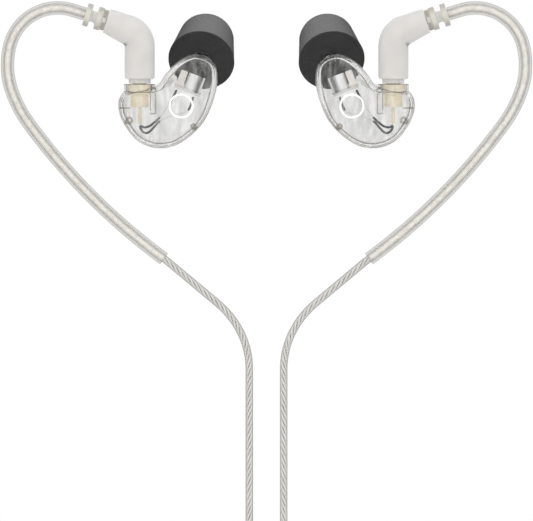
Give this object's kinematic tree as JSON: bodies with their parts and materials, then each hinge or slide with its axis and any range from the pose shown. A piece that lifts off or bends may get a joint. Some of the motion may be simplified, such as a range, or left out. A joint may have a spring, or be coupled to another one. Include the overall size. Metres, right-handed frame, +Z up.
{
  "type": "in ear monitors",
  "caption": "Pair of clear-shelled in ear monitors on over-ear hook cables with detachable coaxial connectors, foam tips, a Y splitter, a chin slider and a right-angle plug.",
  "frame": {"origin": "middle of the splitter's flat back face", "axes": "+Z up along the cables towards the ear hooks, +Y towards the wearer's head (the side of the ear tips), +X towards the left earpiece"},
  "size_m": [0.1062, 0.0245, 0.1574],
  "materials": {
    "clear_shell": "polished clear moulding",
    "frosted_boot": "frosted translucent moulding",
    "relief_rubber": "translucent soft moulding",
    "clear_tube": "clear soft tube",
    "silver_cable": "twisted silvered conductors in a clear jacket",
    "gold_contact": "pale gold plating",
    "steel_part": "bright",
    "dielectric": "plain",
    "enamelled_wire": "dark enamel",
    "armature_case": "satin",
    "diaphragm": "thin film",
    "damper": "fine mesh",
    "foam": "matte open foam",
    "tip_core": "matte"
  },
  "bodies": {
    "root": {"right_strand": "silver_cable", "left_strand": "silver_cable", "splitter": "frosted_boot", "main_lead": "silver_cable", "plug_boot": "relief_rubber", "plug_housing": "frosted_boot", "plug_sleeve": "gold_contact", "plug_ring": "gold_contact", "plug_tip": "gold_contact", "plug_core_insulator": "dielectric"},
    "slider": {"cable_slider": "frosted_boot"},
    "right_hook": {"right_elbow": "frosted_boot", "right_plug_barrel": "gold_contact", "right_plug_insulator": "dielectric", "right_plug_pin": "gold_contact", "right_strain_relief": "relief_rubber", "right_hook_tube": "clear_tube", "right_hook_cable": "silver_cable"},
    "right_snap_ring": {"right_snap_ring": "steel_part"},
    "right_earpiece": {"right_faceplate": "clear_shell", "right_rear_shell": "clear_shell", "right_jack_body": "gold_contact", "right_jack_insulator": "dielectric", "right_jack_contact": "gold_contact", "right_signal_wire": "enamelled_wire", "right_ground_wire": "enamelled_wire", "right_driver_can": "steel_part", "right_driver_magnet": "steel_part", "right_driver_diaphragm": "diaphragm", "right_armature_driver": "armature_case", "right_driver_carrier": "frosted_boot", "right_nozzle_filter": "damper"},
    "right_tip": {"right_tip_core": "tip_core", "right_foam_tip": "foam"},
    "left_hook": {"left_elbow": "frosted_boot", "left_plug_barrel": "gold_contact", "left_plug_insulator": "dielectric", "left_plug_pin": "gold_contact", "left_strain_relief": "relief_rubber", "left_hook_tube": "clear_tube", "left_hook_cable": "silver_cable"},
    "left_snap_ring": {"left_snap_ring": "steel_part"},
    "left_earpiece": {"left_faceplate": "clear_shell", "left_rear_shell": "clear_shell", "left_jack_body": "gold_contact", "left_jack_insulator": "dielectric", "left_jack_contact": "gold_contact", "left_signal_wire": "enamelled_wire", "left_ground_wire": "enamelled_wire", "left_driver_can": "steel_part", "left_driver_magnet": "steel_part", "left_driver_diaphragm": "diaphragm", "left_armature_driver": "armature_case", "left_driver_carrier": "frosted_boot", "left_nozzle_filter": "damper"},
    "left_tip": {"left_tip_core": "tip_core", "left_foam_tip": "foam"}
  },
  "joints": [
    {"name": "slider_slide", "type": "slide", "parent": "root", "child": "slider", "axis": [0, 0, 1], "range_m": [0, 0.028]},
    {"name": "right_hook_flex", "type": "hinge", "parent": "root", "child": "right_hook", "pos_m": [-0.01968, -0.0022, 0.07445], "axis": [0, -1, 0], "range_deg": [-5, 25]},
    {"name": "right_swivel", "type": "hinge", "parent": "right_hook", "child": "right_snap_ring", "pos_m": [-0.02537, -0.0022, 0.11], "axis": [0, 0, 1], "range_deg": [-160, 80]},
    {"name": "right_detach", "type": "slide", "parent": "right_snap_ring", "child": "right_earpiece", "axis": [0, 0, -1], "range_m": [0, 0.006]},
    {"name": "right_tip_pull", "type": "slide", "parent": "right_earpiece", "child": "right_tip", "axis": [0.1137, 0.8616, 0.4948], "range_m": [0, 0.008]},
    {"name": "left_hook_flex", "type": "hinge", "parent": "root", "child": "left_hook", "pos_m": [0.01968, -0.0022, 0.07445], "axis": [0, 1, 0], "range_deg": [-5, 25]},
    {"name": "left_swivel", "type": "hinge", "parent": "left_hook", "child": "left_snap_ring", "pos_m": [0.02537, -0.0022, 0.11], "axis": [0, 0, -1], "range_deg": [-160, 80]},
    {"name": "left_detach", "type": "slide", "parent": "left_snap_ring", "child": "left_earpiece", "axis": [0, 0, -1], "range_m": [0, 0.006]},
    {"name": "left_tip_pull", "type": "slide", "parent": "left_earpiece", "child": "left_tip", "axis": [-0.1137, 0.8616, 0.4948], "range_m": [0, 0.008]}
  ]
}
